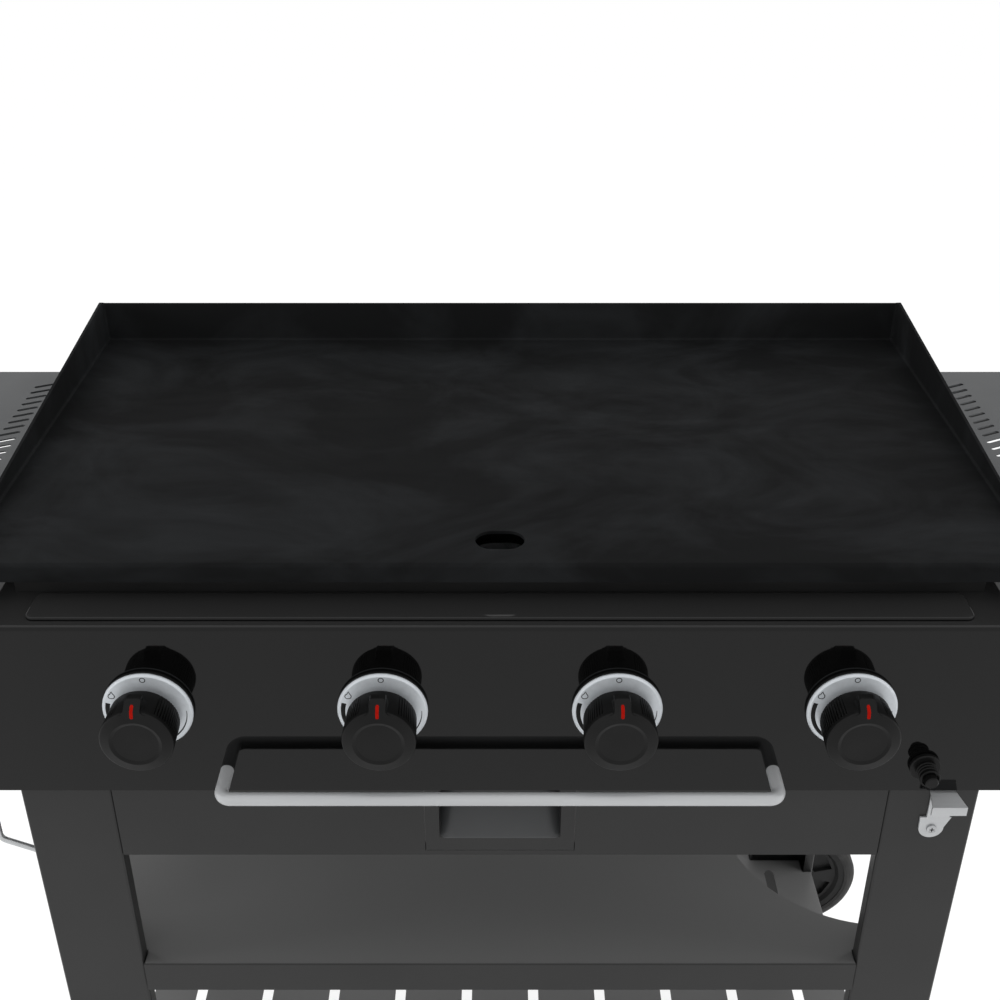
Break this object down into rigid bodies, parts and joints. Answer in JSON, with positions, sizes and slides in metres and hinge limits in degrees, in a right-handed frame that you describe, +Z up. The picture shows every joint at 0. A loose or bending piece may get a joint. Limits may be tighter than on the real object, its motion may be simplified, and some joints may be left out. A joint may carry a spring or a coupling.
{
  "type": "outdoor gas griddle station",
  "caption": "Flat-top outdoor gas griddle on a wheeled cart with side shelves, control knobs, towel bar, grease tray and a shelf with a tank recess.",
  "frame": {"origin": "on the ground, midway across the side shelves and midway between the knobs' faces and the griddle's back wall", "axes": "+X to the right of the cook, towards the wheels; +Y from the cook towards the griddle's back wall; +Z up"},
  "size_m": [1.548, 0.592, 0.9622],
  "materials": {
    "griddle_steel": "black oiled cooking steel with faint smears",
    "black_paint": "gloss black powder coat",
    "panel_paint": "high-gloss black enamel",
    "shelf_paint": "satin black powder coat",
    "stainless": "polished stainless",
    "bezel_metal": "satin silver",
    "chrome_trim": "bright chrome",
    "bare_steel": "zinc-plated",
    "burner_steel": "dull stainless",
    "valve_alloy": "die-cast",
    "brass": "turned",
    "black_plastic": "satin black",
    "hub_plastic": "moulded black",
    "tyre_rubber": "matte",
    "white_ceramic": "unglazed",
    "black_bolts": "black oxide"
  },
  "bodies": {
    "cart": {"firebox": "black_paint", "burner_1": "burner_steel", "burner_2": "burner_steel", "burner_3": "burner_steel", "burner_4": "burner_steel", "carryover_channels": "burner_steel", "burner_support_bar": "burner_steel", "manifold": "bare_steel", "gas_inlet_fitting": "brass", "valve_1": "valve_alloy", "valve_2": "valve_alloy", "valve_3": "valve_alloy", "valve_4": "valve_alloy", "bezel_ring_1": "bezel_metal", "bezel_ring_2": "bezel_metal", "bezel_ring_3": "bezel_metal", "bezel_ring_4": "bezel_metal", "bezel_bases": "black_plastic", "control_panel": "panel_paint", "towel_bar": "stainless", "igniter_housing": "black_plastic", "ignition_electrodes": "white_ceramic", "leg_front_left": "black_paint", "leg_front_right": "black_paint", "leg_rear_left": "black_paint", "leg_rear_right": "black_paint", "leg_feet": "black_plastic", "wheel_axle": "bare_steel", "axle_nuts": "chrome_trim", "bottom_shelf": "black_paint", "middle_shelf": "black_paint", "front_apron": "black_paint", "rear_crossmember": "black_paint", "top_rail_left": "black_paint", "top_rail_right": "black_paint", "tray_runners": "black_paint", "grease_chute": "bare_steel", "side_shelf_left": "shelf_paint", "side_shelf_right": "shelf_paint", "shelf_brackets": "black_paint", "bottle_opener": "stainless", "side_wire_rail": "chrome_trim", "leg_bolts": "black_bolts", "pan_head_screws": "bare_steel"},
    "griddle": {"griddle_plate": "griddle_steel", "griddle_feet": "stainless"},
    "stem_1": {"valve_stem_1": "bare_steel"},
    "stem_2": {"valve_stem_2": "bare_steel"},
    "stem_3": {"valve_stem_3": "bare_steel"},
    "stem_4": {"valve_stem_4": "bare_steel"},
    "knob_body_1": {"knob_1": "black_plastic"},
    "knob_body_2": {"knob_2": "black_plastic"},
    "knob_body_3": {"knob_3": "black_plastic"},
    "knob_body_4": {"knob_4": "black_plastic"},
    "igniter": {"igniter_button": "black_plastic"},
    "tray": {"grease_tray": "black_paint"},
    "front_wheel": {"tyre_front": "tyre_rubber", "wheel_hub_front": "hub_plastic"},
    "rear_wheel": {"tyre_rear": "tyre_rubber", "wheel_hub_rear": "hub_plastic"}
  },
  "joints": [
    {"name": "griddle_lift_off", "type": "slide", "parent": "cart", "child": "griddle", "axis": [0, 0, 1], "range_m": [0, 0.06]},
    {"name": "valve_turn_1", "type": "hinge", "parent": "cart", "child": "stem_1", "pos_m": [-0.309, -0.246, 0.789], "axis": [0, -1, 0], "range_deg": [0, 145]},
    {"name": "knob_push_1", "type": "slide", "parent": "stem_1", "child": "knob_body_1", "axis": [0, 1, 0], "range_m": [0, 0.003], "stiffness_N_per_m": 1200},
    {"name": "valve_turn_2", "type": "hinge", "parent": "cart", "child": "stem_2", "pos_m": [-0.103, -0.246, 0.789], "axis": [0, -1, 0], "range_deg": [0, 145]},
    {"name": "knob_push_2", "type": "slide", "parent": "stem_2", "child": "knob_body_2", "axis": [0, 1, 0], "range_m": [0, 0.003], "stiffness_N_per_m": 1200},
    {"name": "valve_turn_3", "type": "hinge", "parent": "cart", "child": "stem_3", "pos_m": [0.103, -0.246, 0.789], "axis": [0, -1, 0], "range_deg": [0, 145]},
    {"name": "knob_push_3", "type": "slide", "parent": "stem_3", "child": "knob_body_3", "axis": [0, 1, 0], "range_m": [0, 0.003], "stiffness_N_per_m": 1200},
    {"name": "valve_turn_4", "type": "hinge", "parent": "cart", "child": "stem_4", "pos_m": [0.309, -0.246, 0.789], "axis": [0, -1, 0], "range_deg": [0, 145]},
    {"name": "knob_push_4", "type": "slide", "parent": "stem_4", "child": "knob_body_4", "axis": [0, 1, 0], "range_m": [0, 0.003], "stiffness_N_per_m": 1200},
    {"name": "igniter_press", "type": "slide", "parent": "cart", "child": "igniter", "axis": [0, 1, 0], "range_m": [0, 0.004], "stiffness_N_per_m": 700},
    {"name": "grease_tray_slide", "type": "slide", "parent": "cart", "child": "tray", "axis": [0, -1, 0], "range_m": [0, 0.25]},
    {"name": "front_wheel_spin", "type": "hinge", "parent": "cart", "child": "front_wheel", "pos_m": [0.43, -0.261, 0.089], "axis": [0, 1, 0], "continuous": true},
    {"name": "rear_wheel_spin", "type": "hinge", "parent": "cart", "child": "rear_wheel", "pos_m": [0.43, 0.25, 0.089], "axis": [0, 1, 0], "continuous": true}
  ]
}
